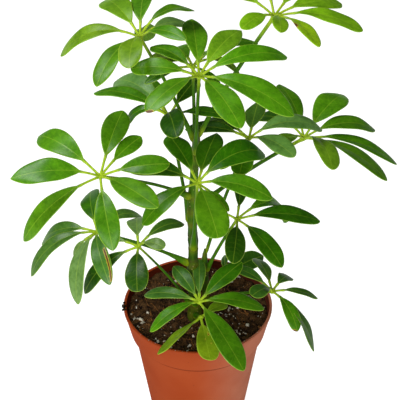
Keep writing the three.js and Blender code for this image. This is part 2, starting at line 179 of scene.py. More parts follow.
# What a tint is multiplied by in darker patches, and the earth's colour on crumbs and fibres
DARKER = {"blade": (0.46, 0.56, 0.4, 1), "stalk": (0.72, 0.78, 0.7, 1), "bark": (0.5, 0.55, 0.5, 1)}
CRUMB_TINTS = [(0.75, 0.7, 0.65, 1), (1.2, 1.1, 1.0, 1), (1.9, 1.75, 1.5, 1), (2.9, 2.5, 2.0, 1)]
CRUMB_SHARES = (5, 4, 2, 1)
FIBRE_TINTS = [(2.6, 2.2, 1.7, 1), (4.0, 3.3, 2.4, 1), (1.6, 1.4, 1.1, 1)]

# Single colours that are linear already
RIM_SPECK_TINT = (0.8, 0.76, 0.7, 1)
FLOOR_WHITES = ((0.24, 0.24, 0.24, 1), (0.26, 0.26, 0.26, 1))
WHITE = (1, 1, 1, 1)

# Stems as lists of [x, y, z, radius]
STEMS = {
    "main": [
        [-2, -9, 62, 4.6], [-2, -9, 84, 5.0], [-2.5, -7, 104, 4.0], [-3.5, -3.5, 122, 3.4],
        [-3.5, -2.5, 127, 3.8], [-3.5, -2, 132, 3.1], [-3, -1, 144, 3.0], [-3, -0.5, 148, 3.4],
        [-3.5, 0, 154, 2.9], [-4, 0, 170, 3.1], [-3.5, 0, 184, 2.9], [-2.5, -0.5, 200, 2.5],
        [-1.5, -1, 222, 2.4], [-1, -1, 228, 2.3], [0, -1, 238, 0.6],
    ],
    "side": [
        [6, 4, 62, 2.3], [6, 4, 84, 2.5], [5.5, 3.5, 104, 2.2], [5, 3, 118, 1.9],
        [4.5, 2.5, 123, 2.2], [4.5, 2.5, 130, 1.8], [5, 2.5, 138, 0.6],
    ],
}

# The blades' shapes, as the solids have them: width as a share of the blade's length, and how sharp the
# tip is
SHAPES = {
    "round": (0.5, 0.45),
    "oval": (0.42, 0.58),
    "long": (0.36, 0.65),
    "slim": (0.28, 0.65),
    "spear": (0.33, 0.9),
    "almond": (0.42, 0.85),
}

# The leaves, one row each, as the solids have them. hub is where the leaflets meet, from is the height at
# which the petiole leaves its stem, and lean is which way the leaf tips and how far. A leaflet is (angle
# round the hub, length with its stalk, how steeply it starts, how far it bends down, how far it is rolled
# about its midrib, shape, tone). Angles are in degrees.
LEAVES = {
    "leaf_top_left": {
        "hub": (-35, 0, 303), "stem": "main", "from": 228, "lean": (170, 12), "stalk": 12,
        "leaflets": [
            (175, 58, 40, 90, 10, "long", "pale"), (240, 54, 25, 60, 0, "long", "fresh"),
            (265, 48, 35, 60, 0, "oval", "pale"), (115, 56, 35, 55, 0, "oval", "pale"),
            (85, 55, 30, 40, 5, "long", "green"), (30, 44, 50, 95, 0, "oval", "green"),
            (45, 42, 10, 50, -25, "long", "silver_sheen"), (315, 46, 40, 60, -15, "slim", "green"),
            (90, 40, 10, 80, 15, "round", "fresh"),
        ],
    },
    "leaf_top_right": {
        "hub": (47, 12, 311), "stem": "main", "from": 231, "lean": (20, 15), "stalk": 13, "girth": 1.2,
        "leaflets": [
            (235, 39, 25, 50, 10, "oval", "lime"), (270, 42, 30, 40, 0, "long", "lime"),
            (300, 50, 30, 50, 5, "long", "bright"), (345, 57, 35, 50, -5, "oval", "lime"),
            (30, 52, 35, 50, -10, "oval", "lime"), (65, 54, 30, 40, 5, "long", "lime"),
            (105, 50, 30, 40, 10, "long", "lime"), (145, 52, 20, 50, 25, "long", "lime"),
        ],
    },
    "leaf_top_front": {
        "hub": (1, -28, 292), "stem": "main", "from": 219, "lean": (280, 12), "stalk": 10,
        "leaflets": [
            (170, 43, 20, 45, 10, "oval", "fresh"), (230, 50, 35, 60, -15, "oval", "fresh"),
            (295, 58, 30, 45, 0, "long", "fresh"), (335, 65, 25, 60, 0, "long", "fresh"),
            (25, 64, 30, 70, -5, "slim", "fresh"), (60, 55, 25, 55, -10, "spear", "pale"),
            (95, 54, 20, 40, -10, "long", "fresh"), (135, 44, 25, 60, 0, "long", "green"),
        ],
    },
    "leaf_top_back": {
        "hub": (-3, 20, 271), "stem": "main", "from": 216, "lean": (90, 8), "stalk": 9,
        "leaflets": [
            (25, 50, 45, 70, -10, "slim", "green"), (345, 36, 50, 110, 0, "long", "olive"),
            (110, 40, 20, 45, 15, "oval", "fresh"), (150, 36, 20, 50, 30, "oval", "olive"),
            (65, 24, 25, 40, 0, "slim", "fresh"), (305, 30, 15, 50, 10, "oval", "fresh"),
            (200, 34, 10, 45, 15, "long", "forest"),
        ],
    },
    "leaf_upper_left": {
        "hub": (-18.7, 8, 241), "stem": "main", "from": 162, "lean": (180, 8), "stalk": 11,
        "leaflets": [
            (152, 59, 42, 66, 0, "slim", "green"), (130, 62, 45, 80, 15, "long", "silver_sheen"),
            (176, 35, 58, 130, 8, "round", "forest"), (280, 50, 50, 70, -20, "oval", "deep"),
            (335, 46, 30, 45, 5, "long", "forest"), (55, 36, 25, 20, -30, "round", "deep"),
            (110, 46, 25, 35, -10, "long", "green"),
        ],
    },
    "leaf_left": {
        "hub": (-60, -42, 229), "stem": "main", "from": 184, "lean": (250, 22), "stalk": 14, "girth": 0.9,
        "leaflets": [
            (189, 58, 48, 62, 0, "almond", "fresh"), (138, 62, 34, 78, 5, "long", "fresh"),
            (77, 54, 13, 32, -10, "oval", "green"), (55, 42, 5, 30, -15, "oval", "fresh"),
            (0, 46, 30, 40, -10, "oval", "green"), (315, 61, 40, 40, 10, "long", "fresh"),
            (280, 55, 25, 60, 0, "long", "green"), (210, 67, 15, 70, 0, "slim", "fresh"),
        ],
    },
    "leaf_front": {
        "hub": (0, -48, 228), "stem": "main", "from": 142, "lean": (270, 15), "stalk": 9,
        "leaflets": [
            (115, 45, 25, 50, -5, "oval", "forest"), (75, 48, 15, 40, 10, "almond", "forest"),
            (35, 60, 45, 105, -10, "long", "forest"), (345, 50, 35, 70, -5, "long", "fresh"),
            (285, 49, 30, 50, 5, "round", "fresh"), (315, 28, 15, 45, 10, "long", "fresh"),
            (220, 47, 30, 75, -15, "oval", "green"), (165, 48, 35, 70, 5, "long", "deep"),
        ],
    },
    "leaf_right": {
        "hub": (71, 32, 209), "stem": "main", "from": 172, "lean": (10, 18), "stalk": 12, "girth": 1.2,
        "leaflets": [
            (60, 60, 55, 75, 5, "almond", "fresh"), (20, 57, 50, 75, -5, "long", "green"),
            (355, 68, 30, 55, 0, "slim", "green"), (325, 67, 30, 50, 5, "long", "fresh"),
            (285, 54, 45, 70, 5, "oval", "pale"), (110, 55, 30, 40, 0, "long", "green"),
            (135, 50, 20, 75, 25, "long", "deep"), (230, 38, 30, 45, -5, "oval", "pale"),
        ],
    },
    "leaf_right_inner": {
        "hub": (33, 4, 227), "stem": "side", "from": 134, "lean": (0, 5), "stalk": 9,
        "leaflets": [
            (80, 42, 15, 20, 15, "almond", "moss"), (165, 44, 20, 50, 10, "long", "deep"),
            (130, 42, 10, 40, 10, "long", "deep"), (310, 44, 40, 55, -10, "oval", "silver_sheen"),
            (15, 55, 45, 85, -5, "long", "silver_sheen"), (245, 46, 25, 45, -10, "long", "forest"),
            (260, 38, 10, 30, -10, "round", "green"),
        ],
    },
    "leaf_right_low": {
        "hub": (26, -8, 171), "stem": "side", "from": 119, "lean": (340, 12), "stalk": 11,
        "leaflets": [
            (5, 58, 30, 50, 0, "long", "forest"), (305, 51, 20, 40, -10, "long", "forest"),
            (265, 45, 20, 40, 10, "oval", "deep"), (85, 45, 15, 40, -10, "slim", "deep"),
            (40, 68, 35, 120, 0, "slim", "fresh"), (150, 30, 5, 40, 10, "long", "deep"),
        ],
    },
    "leaf_left_low": {
        "hub": (-67, -5, 158), "stem": "main", "from": 129, "lean": (190, 20), "stalk": 10,
        "leaflets": [
            (165, 51, 35, 85, 5, "long", "sage"), (200, 60, 40, 95, 5, "slim", "sage"),
            (250, 60, 30, 95, -10, "slim", "slate_sheen"), (280, 53, 35, 90, 0, "slim", "sage"),
            (100, 53, 25, 55, 10, "long", "forest"), (50, 44, 10, 75, -30, "slim", "sage"),
            (200, 26, 10, 70, 20, "long", "slate_sheen"),
        ],
    },
    "leaf_left_inner": {
        "hub": (-39, -22, 159), "stem": "main", "from": 98, "lean": (220, 10), "stalk": 9, "girth": 0.75,
        "leaflets": [
            (95, 37, 15, 50, 0, "round", "slate_sheen"), (40, 42, 30, 80, -20, "slim", "moss"),
            (325, 27, 60, 75, -10, "round", "slate_sheen"), (270, 40, 25, 60, 0, "round", "deep"),
            (200, 52, 5, 70, 20, "slim", "deep"), (155, 30, 20, 50, 0, "slim", "slate_sheen"),
        ],
    },
    "leaf_soil_front": {
        "hub": (1, -32, 120), "stem": "main", "from": 100, "lean": (275, 12), "stalk": 6,
        "leaflets": [
            (160, 43, 15, 60, 5, "slim", "sage"), (215, 43, 35, 80, -10, "slim", "fresh"),
            (120, 36, 20, 40, 15, "long", "moss"), (90, 38, 15, 30, 10, "slim", "sage"),
            (45, 42, 25, 30, -5, "long", "forest"), (355, 46, 30, 65, 10, "long", "green"),
            (300, 59, 5, 25, 15, "long", "green"),
        ],
    },
    "leaf_soil_small": {
        "hub": (2, -28, 103), "stem": "main", "from": 91, "lean": (270, 10), "stalk": 6,
        "leaflets": [
            (280, 37, 5, 10, 15, "round", "yellow"), (225, 41, 5, 20, -30, "slim", "yellow"),
            (45, 27, 5, 40, -5, "oval", "yellow"),
        ],
    },
    "leaf_rim_right": {
        "hub": (51, -10, 111), "stem": "side", "from": 92, "lean": (350, 10), "stalk": 8,
        "leaflets": [
            (60, 30, 20, 60, -5, "round", "moss"), (10, 36, 15, 50, 0, "slim", "moss"),
            (305, 36, 20, 75, 0, "oval", "green"), (320, 53, 5, 70, 20, "slim", "moss"),
            (230, 30, 55, 65, 10, "round", "moss"), (145, 36, 25, 50, 5, "long", "moss"),
            (105, 40, 20, 50, -10, "long", "moss"),
        ],
    },
    "leaf_rim_back": {
        "hub": (19, 23, 97), "stem": "side", "from": 98, "lean": (60, 10), "stalk": 7,
        "leaflets": [
            (50, 46, 15, 30, -40, "long", "deep"), (245, 26, 25, 30, 0, "oval", "deep"),
            (90, 28, 25, 40, 35, "slim", "deep"),
        ],
    },
}

# Brown marks by leaf and leaflet, as (place across from -1 to 1, place along from 0 to 1, radius)
MARKS = {
    ("leaf_top_right", 2): [(0.95, 0.45, 2.4)],
    ("leaf_top_front", 1): [(-0.6, 0.98, 2.2)],
    ("leaf_left_low", 3): [(-0.64, 0.42 + 0.03 * step, 0.9) for step in range(18)],
    ("leaf_left_inner", 1): [(0.3, 1.0, 1.4)],
    ("leaf_soil_small", 0): [(-0.4, 0.3, 1.0), (0.1, 0.42, 0.8), (-0.5, 0.55, 0.7), (0.3, 0.25, 0.7)],
    ("leaf_right_low", 4): [(0, 0.7, 2.4)],
    ("leaf_rim_right", 2): [(0.9, 0.97, 1.6)],
}


class Skin:
    """Points and faces in millimetres, with what is painted on them, gathered before they become a mesh."""

    def __init__(self):
        self.points = []
        self.paint = []
        self.faces = []
        self.slots = []

    def add(self, point, tint=WHITE, under=0.0, mark=0.0, place=(0.0, 0.0), off_rib=0.0, off_edge=9.0):
        """Add a point and return its number. under is 1 on a leaf's underside, and paints shade on the pot.
        """
        self.points.append(point)
        self.paint.append({
            "tint": tint, "under": under, "mark": mark,
            "place": place, "off_rib": off_rib, "off_edge": off_edge,
        })
        return len(self.points) - 1

    def face(self, corners, slot=0):
        self.faces.append(corners)
        self.slots.append(slot)

    def join(self, rings, slots=None):
        """Walls between rings of vertex numbers, all of one count, with a flat cap at each end."""
        slots = slots or [0] * (len(rings) - 1)
        for low, high, slot in zip(rings, rings[1:], slots):
            count = len(low)
            for side in range(count):
                after = (side + 1) % count
                self.face((low[side], low[after], high[after], high[side]), slot)
        self.face(tuple(reversed(rings[0])), slots[0])
        self.face(tuple(rings[-1]), slots[-1])


def new_thing(name, data):
    """A new object, linked to the scene."""
    thing = bpy.data.objects.new(name, data)
    bpy.context.scene.collection.objects.link(thing)
    return thing


def piece(name, skin, materials, node=None):
    """A skin as an object that rides on the plant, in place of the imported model's node if one is named."""
    mesh = bpy.data.meshes.new(name)
    mesh.from_pydata([[c * MM for c in point] for point in skin.points], [], skin.faces)
    for material in materials:
        mesh.materials.append(material)
    mesh.polygons.foreach_set("material_index", skin.slots)
    mesh.polygons.foreach_set("use_smooth", [True] * len(mesh.polygons))
    tint = mesh.attributes.new("tint", "FLOAT_COLOR", "POINT")
    tint.data.foreach_set("color", [level for spot in skin.paint for level in spot["tint"]])
    for key in ("under", "mark", "off_rib", "off_edge"):
        layer = mesh.attributes.new(key, "FLOAT", "POINT")
        layer.data.foreach_set("value", [spot[key] for spot in skin.paint])
    places = mesh.uv_layers.new(name="places")
    corners = [skin.paint[loop.vertex_index]["place"] for loop in mesh.loops]
    places.data.foreach_set("uv", [share for corner in corners for share in corner])
    mesh.update()
    thing = new_thing(name, mesh)
    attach(thing, "root")
    if node:
        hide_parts(node)
    return thing


def between(a, b, share):
    """The value at a share of the way from a to b."""
    return a + (b - a) * share


def mix(a, b, share):
    return [between(x, y, share) for x, y in zip(a, b)]


def ramp(value, low, high):
    """0 below low, 1 above high, and smooth between."""
    share = min(max((value - low) / (high - low), 0), 1)
    return share * share * (3 - 2 * share)


def bell(distance, reach):
    """1 at no distance, 0.37 at the reach, and next to nothing from twice the reach on."""
    return math.exp(-((distance / reach) ** 2))


def circle_angles(sides):
    return [side / sides * math.tau for side in range(sides)]


def on_circle(angle, radius, height):
    return Vector((math.cos(angle) * radius, math.sin(angle) * radius, height))


# Node trees

class Nodes:
    """Short ways to write a material's node tree."""

    def __init__(self, name):
        self.material = bpy.data.materials.new(name)
        self.material.use_nodes = True
        self.tree = self.material.node_tree
        self.shader = self.tree.nodes["Principled BSDF"]

    def add(self, kind, settings=None, **inputs):
        node = self.tree.nodes.new("ShaderNode" + kind)
        for key, value in (settings or {}).items():
            setattr(node, key, value)
        for key, value in inputs.items():
            self.set(node, key, value)
        return node

    def set(self, node, key, value):
        """Set or link an input. The key is its name with _ for each space, or i and its number."""
        by_number = key[0] == "i" and key[1:].isdigit()
        socket = node.inputs[int(key[1:]) if by_number else key.replace("_", " ")]
        if isinstance(value, bpy.types.NodeSocket):
            self.tree.links.new(value, socket)
        else:
            socket.default_value = value

    def value(self, name):
        return self.add("Attribute", {"attribute_name": name}).outputs["Fac"]

    def colour(self, name):
        return self.add("Attribute", {"attribute_name": name}).outputs["Color"]

    def place(self):
        """The place on the surface in the object's own space, in metres."""
        return self.add("TexCoord").outputs["Object"]

    def math(self, operation, a, b=0.0, c=0.0):
        return self.add("Math", {"operation": operation}, i0=a, i1=b, i2=c).outputs[0]

    def span(self, value, low, high, to_low=0.0, to_high=1.0):
        """The range from low to high turned smoothly into another one."""
        settings = {"interpolation_type": "SMOOTHSTEP"}
        return self.add("MapRange", settings, i0=value, i1=low, i2=high, i3=to_low, i4=to_high).outputs[0]

    def blend(self, share, a, b, kind="MIX"):
        node = self.add("Mix", {"data_type": "RGBA", "blend_type": kind})
        for index, value in ((0, share), (6, a), (7, b)):
            self.set(node, f"i{index}", value)
        return node.outputs[2]

    def noise(self, scale, detail=3.0, stretch=(1, 1, 1)):
        """Noise. A scale of 100 has features about 10 mm across."""
        mapped = self.add("Mapping", None, Vector=self.place(), Scale=stretch).outputs[0]
        return self.add("TexNoise", None, Vector=mapped, Scale=scale, Detail=detail).outputs["Fac"]

    def bump(self, height, strength, distance):
        return self.add("Bump", None, Height=height, Strength=strength, Distance=distance).outputs[0]

    def finish(self, **inputs):
        for key, value in inputs.items():
            self.set(self.shader, key, value)
        return self.material


def blade_material():
    n = Nodes("leaf_blade")
    uv = n.add("SeparateXYZ", None, Vector=n.add("UVMap", {"uv_map": "places"}).outputs[0])
    across = n.math("ABSOLUTE", n.math("MULTIPLY_ADD", uv.outputs[0], 2.0, -1.0))
    along = uv.outputs[1]
    tint = n.colour("tint")
    under = n.value("under")
    patches = n.noise(90, 4)
    mottle = n.noise(420, 3)
    grain = n.noise(1000, 3)

    midrib = n.span(n.value("off_rib"), 0.1, 0.42, 1.0, 0.0)
    rim = n.span(n.value("off_edge"), 0.12, 0.6, 1.0, 0.0)
    drift = n.math("MULTIPLY_ADD", patches, 0.35, along)
    side_phase = n.math("MULTIPLY_ADD", across, -1.3, n.math("MULTIPLY", drift, 9.0))
    side_vein = n.span(n.math("PINGPONG", side_phase, 0.5), 0.02, 0.09, 1.0, 0.0)
    base = n.span(along, 0.0, 0.14, 1.0, 0.0)
    veins = n.math("MAXIMUM", n.math("MULTIPLY", midrib, 0.4), n.math("MULTIPLY", side_vein, 0.1))
    edge = n.math("MULTIPLY", rim, 0.85)
    lines = n.math("MAXIMUM", veins, n.math("MAXIMUM", edge, n.math("MULTIPLY", base, 0.45)))

    broad_light = n.math("MULTIPLY", n.span(patches, 0.3, 0.7), 0.6)
    light = n.math("MULTIPLY_ADD", n.span(mottle, 0.3, 0.7), 0.4, broad_light)
    dull = n.blend(1.0, tint, DARKER["blade"], "MULTIPLY")
    pale = n.blend(0.55, tint, VEIN)
    upper = n.blend(lines, n.blend(light, dull, tint), pale)
    lower = n.blend(0.45, n.blend(n.math("MULTIPLY", veins, 0.7), tint, pale), UNDERSIDE)
    green = n.blend(under, upper, lower)

    ragged = n.math("MULTIPLY_ADD", n.math("SUBTRACT", n.noise(700, 3), 0.5), 0.6, n.value("mark"))
    yellowed = n.blend(n.span(ragged, 0.12, 0.5), green, YELLOWED)
    whole = n.blend(n.span(ragged, 0.45, 0.75), yellowed, BROWNED)

    relief = n.math("MULTIPLY_ADD", midrib, 1.0, n.math("MULTIPLY", side_vein, 0.35))
    height = n.math("ADD", n.math("MULTIPLY_ADD", grain, 0.5, relief), n.math("MULTIPLY", mottle, 0.8))
    return n.finish(
        Base_Color=whole,
        Roughness=n.math("MULTIPLY_ADD", under, 0.2, n.span(grain, 0.3, 0.7, 0.36, 0.5)),
        Normal=n.bump(height, 0.35, 0.0004),
        Specular_IOR_Level=0.0,
        Coat_Weight=0.35,
        Coat_Roughness=0.32,
    )


def stalk_material():
    n = Nodes("leaf_stalk")
    streaks = n.noise(500, 3, (1, 1, 0.18))
    tint = n.colour("tint")
    dark = n.blend(1.0, tint, DARKER["stalk"], "MULTIPLY")
    fine = n.noise(2200, 2)
    return n.finish(
        Base_Color=n.blend(n.span(streaks, 0.35, 0.65), dark, tint),
        Roughness=n.span(fine, 0.3, 0.7, 0.42, 0.55),
        Normal=n.bump(n.math("ADD", streaks, n.math("MULTIPLY", fine, 0.4)), 0.3, 0.0003),
        Specular_IOR_Level=0.08,
    )


def stem_material():
    n = Nodes("stem_bark")
    tint = n.colour("tint")
    streaks = n.noise(420, 5, (1, 1, 0.12))
    spots = n.add("TexVoronoi", None, Vector=n.place(), Scale=420.0).outputs["Distance"]
    pores = n.math("MULTIPLY", n.span(spots, 0.12, 0.26, 1.0, 0.0), n.span(n.noise(150, 2), 0.45, 0.6))
    dark = n.blend(1.0, tint, DARKER["bark"], "MULTIPLY")
    bark = n.blend(n.span(streaks, 0.34, 0.62), dark, tint)
    speckled = n.blend(n.math("MULTIPLY", pores, 0.55), bark, PORE)
    scarred = n.blend(n.math("MULTIPLY", n.value("mark"), 0.8), speckled, SCAR_BROWN)
    height = n.math("ADD", streaks, n.math("MULTIPLY", pores, 0.5))
    return n.finish(
        Base_Color=scarred,
        Roughness=n.span(streaks, 0.3, 0.7, 0.62, 0.46),
        Normal=n.bump(height, 0.5, 0.0005),
        Specular_IOR_Level=0.08,
    )


def pot_material():
    n = Nodes("pot_plastic")
    cloud = n.noise(28, 4)
    lines = n.noise(900, 2, (1, 1, 0.02))
    grain = n.noise(2500, 3)
    warm = n.blend(n.span(cloud, 0.3, 0.7), CLAY["dark"], CLAY["light"])
    # A painted sheen lies on the right side, and thins out just left of the middle.
    rightward = n.add("SeparateXYZ", None, Vector=n.place()).outputs[0]
    sheen_share = n.span(rightward, -0.005, 0.045, 0.02, 0.42)
    uneven = n.span(n.noise(60, 6), 0.3, 0.75, 0.75, 1.0)
    sheened = n.blend(n.math("MULTIPLY", uneven, sheen_share), warm, CLAY_SHEEN)
    marked = n.blend(n.math("MULTIPLY", n.span(n.noise(420, 2), 0.7, 0.76), 0.5), sheened, CLAY_SPECK)
    # Painted shade, by under: dark inside the pot, and less dark in the corner under the collar.
    shaded = n.blend(n.math("MULTIPLY", n.value("under"), 0.9), marked, CLAY_SHADE)
    height = n.math("ADD", n.math("MULTIPLY", lines, 0.5), n.math("MULTIPLY", grain, 0.5))
    return n.finish(
        Base_Color=shaded,
        Roughness=n.span(cloud, 0.3, 0.7, 0.42, 0.52),
        Normal=n.bump(height, 0.25, 0.0002),
        Specular_IOR_Level=0.0,
        Coat_Weight=0.06,
        Coat_Roughness=0.4,
    )


def soil_material():
    n = Nodes("potting_mix")
    lumps = n.noise(260, 8)
    specks = n.noise(1400, 4)
    dark = n.blend(n.span(lumps, 0.35, 0.65), EARTH["dark"], EARTH["light"])
    earth = n.blend(n.math("MULTIPLY", n.span(specks, 0.56, 0.7), 0.7), dark, EARTH["speck"])
    tinted = n.blend(1.0, earth, n.colour("tint"), "MULTIPLY")
    height = n.math("ADD", lumps, n.math("MULTIPLY", specks, 0.6))
    return n.finish(
        Base_Color=tinted,
        Roughness=n.span(specks, 0.3, 0.7, 0.95, 0.75),
        Normal=n.bump(height, 1.0, 0.0012),
        Specular_IOR_Level=0.08,
    )


def perlite_material():
    n = Nodes("perlite")
    pits = n.noise(1500, 4)
    return n.finish(
        Base_Color=n.blend(n.span(pits, 0.35, 0.6), PERLITE_STAIN, n.colour("tint")),
        Roughness=n.span(pits, 0.3, 0.7, 0.95, 0.7),
        Normal=n.bump(pits, 0.8, 0.0005),
    )


def floor_material():
    n = Nodes("white_floor")
    grain = n.span(n.noise(6, 2), 0.3, 0.7)
    return n.finish(
        Base_Color=n.blend(grain, *FLOOR_WHITES),
        Roughness=1.0,
        Emission_Color=WHITE,
        Emission_Strength=1.0,
    )


# Leaves

def umbrella_frame(lean):
    """An umbrella's axis, and the two directions in its disc that angle 0 and angle 90 point to."""
    turn, tip = map(math.radians, lean)
    axis = Vector((math.sin(tip) * math.cos(turn), math.sin(tip) * math.sin(turn), math.cos(tip)))
    zero = (Vector((1, 0, 0)) - axis * axis.x).normalized()
    return axis, zero, axis.cross(zero)


def outline(share, point):
    """Half a blade's width at a share of its length, over the greatest. A greater point is sharper."""
    foot = 0.9
    here, widest = (s**foot * (1 - s) ** point for s in (share, foot / (foot + point)))
    return here / widest


def mark_at(marks, u, share, half, length):
    """How strongly a place on a blade is marked, from 0 to 1."""
    worst = 0
    for across, along, radius in marks:
        gap = math.hypot((u - across) * half, (share - along) * length)
        worst = max(worst, 1 - ramp(gap, radius * 0.5, radius * 1.3))
    return worst


def leaflet_stations(stalk, blade, shape, cup):
    """Stations from the hub to a leaflet's tip.

    Each is (distance from the hub, half width, half thickness, how far the sides lift, share of the blade),
    and that share is below 0 on the stalk.
    """
    width, point = SHAPES[shape]
    widest = blade * width / 2
    stations = []
    for step in range(STALK_STEPS):
        distance = STALK["start"] + (stalk - STALK["start"]) * step / STALK_STEPS
        swelling = SWELLING["hub"] * bell(distance, SWELLING["hub_reach"])
        swelling += SWELLING["blade"] * bell(stalk - distance, SWELLING["blade_reach"])
        half = STALK["half_width"] + swelling
        thick = STALK["half_thickness"] + SWELLING["flatness"] * swelling
        stations.append((distance, half, thick, 0, (distance - stalk) / blade))
    stalk_half = STALK["half_width"] + SWELLING["blade"]
    stalk_thick = STALK["half_thickness"] + SWELLING["flatness"] * SWELLING["blade"]
    extra = stalk_thick - BLADE["half_thickness"]
    for share in ALONG:
        half = widest * outline(share, point)
        neck = stalk_half * (1 - ramp(share, 0, BLADE["neck_share"]))
        thick = BLADE["half_thickness"] + extra * (1 - ramp(share, 0, BLADE["start_share"]))
        lift = half * (0.3 - 0.34 * share) * cup
        half_here = max(half, neck, BLADE["tip_half_width"])
        stations.append((stalk + share * blade, half_here, thick, lift, share))
    return stations


def leaflet(skin, name, index):
    """One leaflet with its stalk, on the same curve as the solid's, with a curled blade and a wavy edge."""
    row = LEAVES[name]
    angle, length, start, droop, roll, shape, tone = row["leaflets"][index]
    axis, zero, ninety = umbrella_frame(row["lean"])
    turn, rise, bend, roll = (math.radians(degrees) for degrees in (angle, start, droop, roll))
    out = zero * math.cos(turn) + ninety * math.sin(turn)
    side = out.cross(axis)
    blade = length - row["stalk"]
    radius = length / bend
    centre = Vector(row["hub"]) + out * (radius * math.sin(rise)) - axis * (radius * math.cos(rise))
    dice = random.Random(f"{name} {index}")
    phase = dice.uniform(0, 6.28)
    wave = dice.uniform(0.02, 0.07)
    cup = dice.uniform(0.9, 1.15)
    # A leaflet's tint carries painted light and shade along with its green.
    tint = [level * dice.uniform(0.93, 1.07) for level in TONES[tone][:3]] + [1]
    marks = MARKS.get((name, index), [])

    stations = leaflet_stations(row["stalk"], blade, shape, cup)
    rings = []
    for distance, half, thick, lift, share in stations:
        heading = rise - bend * distance / length
        up = axis * math.cos(heading) - out * math.sin(heading)
        middle = centre + up * radius
        across = side * math.cos(roll) + up * math.sin(roll)
        normal = up * math.cos(roll) - side * math.sin(roll)
        tint_here = mix(STALK_TINT, tint, ramp(share, -0.03, 0.03))
        begun = ramp(share, 0, BLADE["start_share"])
        # A stalk's section is an ellipse, and a blade's keeps its thickness almost to the edge.
        roundness = 2 if share < BLADE["start_share"] else 6
        ring = []
        for under, row_across in ((0, EDGE_TO_EDGE), (1, EDGE_TO_EDGE[::-1])):
            for u in row_across:
                far = abs(u)
                body = math.sqrt(1 - far**roundness)
                rib = BLADE["midrib"] * (1 - share) * bell(far, BLADE["midrib_reach"]) * begun
                rib *= 1 if under else -BLADE["groove_share"]
                lag = RIPPLE["phase_across"] if u > 0 else 0
                swing = math.sin(share * RIPPLE["phase_along"] + phase + lag)
                ripple = half * wave * swing * far * far * ramp(share, 0.05, 0.25)
                # The sides lift and ripple, and curl down a little at the very edge.
                height = lift * far**1.25 + ripple - 0.05 * half * far**4
                offset = thick * max(body, BLADE["edge_share"]) + rib
                place = middle + across * (u * half) + normal * (height + (-offset if under else offset))
                off_edge = min((1 - far) * half, (1 - share) * blade)
                mark = mark_at(marks, u, share, half, blade)
                spot = (0.5 + u / 2, share)
                ring.append(skin.add(place, tint_here, under, mark, spot, far * half, off_edge))
        rings.append(ring)
    skin.join(rings, [1 if station[4] < 0 else 0 for station in stations[1:]])


def tube(skin, points, radii, tints, sides, marks=None, slot=0):
    """A tube through points, each with a tint and a radius, which may be a function of the angle."""
    across = None
    rings = []
    for i, point in enumerate(points):
        tangent = (points[min(i + 1, len(points) - 1)] - points[max(i - 1, 0)]).normalized()
        guess = across or Vector((0, 1, 0)).cross(tangent)
        across = (guess - tangent * guess.dot(tangent)).normalized()
        along = tangent.cross(across)
        ring = []
        for angle in circle_angles(sides):
            reach = radii[i](angle) if callable(radii[i]) else radii[i]
            place = point + across * (math.cos(angle) * reach) + along * (math.sin(angle) * reach)
            ring.append(skin.add(place, tints[i], 0, marks[i] if marks else 0))
        rings.append(ring)
    skin.join(rings, [slot] * (len(rings) - 1))


def on_stem(path, height):
    """The point on a stem's middle line at a height, and its radius there."""
    for low, high in zip(path, path[1:]):
        if low[2] <= height <= high[2]:
            share = (height - low[2]) / (high[2] - low[2])
            return Vector(mix(low[:3], high[:3], share)), between(low[3], high[3], share)


def bezier(handles, t):
    """The point at a share of the curve that four handles make."""
    weights = ((1 - t) ** 3, 3 * t * (1 - t) ** 2, 3 * t * t * (1 - t), t**3)
    return sum((handle * weight for handle, weight in zip(handles, weights)), Vector())


def petiole(skin, name):
    """A leaf's long stalk, on the solid's curve, from its sheath on the stem to the hub."""
    row = LEAVES[name]
    hub = Vector(row["hub"])
    middle, stem_radius = on_stem(STEMS[row["stem"]], row["from"])
    sheath = min(stem_radius, PETIOLE["sheath_limit"])
    base, tip = (PETIOLE[end] * row.get("girth", 1) for end in ("base", "tip"))
    outward = Vector((hub.x - middle.x, hub.y - middle.y, 0)).normalized()
    start = middle + outward * (stem_radius * PETIOLE["offset"])
    reach = (hub - start).length / 3
    straight = (hub - start).normalized()
    leaving = (straight + Vector((0, 0, PETIOLE["arch"]))).normalized()
    arriving = (straight - Vector((0, 0, PETIOLE["arch"] / 2))).normalized()
    handles = [start, start + leaving * reach, hub - arriving * reach, hub]
    points, radii, tints = [], [], []
    for step in range(PETIOLE_STEPS + 1):
        t = step / PETIOLE_STEPS
        points.append(bezier(handles, t))
        flare = max(0, 1 - t / SHEATH_SHARE) ** 1.3
        heel = math.sqrt(min(0.3 + 0.7 * t / HEEL_SHARE, 1))
        head = 0.55 * ramp(t, 0.95, 1)
        radii.append((base + (tip - base) * t + (sheath - base) * flare + head) * heel)
        foot_share = 0.7 * (1 - ramp(t, 0.03, 0.12))
        top_share = ramp(t, 0.75, 1) * 0.8
        tints.append(mix(mix(PETIOLE_TINT, SHEATH_TINT, foot_share), STALK_TINT, top_share))
    tube(skin, points, radii, tints, PETIOLE_SIDES, slot=1)


def ball(skin, detail, tint, place_of, slot=0):
    """A ball, with each point of the unit ball moved to where place_of says."""
    shape = bmesh.new()
    bmesh.ops.create_icosphere(shape, subdivisions=detail, radius=1)
    numbers = [skin.add(place_of(vertex.co), tint) for vertex in shape.verts]
    for face in shape.faces:
        skin.face(tuple(numbers[vertex.index] for vertex in face.verts), slot)
    shape.free()


def hub_knob(skin, name):
    """The lumpy knob where the leaflets meet."""
    hub = Vector(LEAVES[name]["hub"])

    def place_of(spot):
        lump = 0.85 + 0.25 * noise.noise(spot * 1.8 + hub)
        reach = HUB_RADIUS * 0.92 * lump
        return hub + Vector((spot.x, spot.y, spot.z * 0.85)) * reach

    ball(skin, 2, STALK_TINT, place_of, 1)


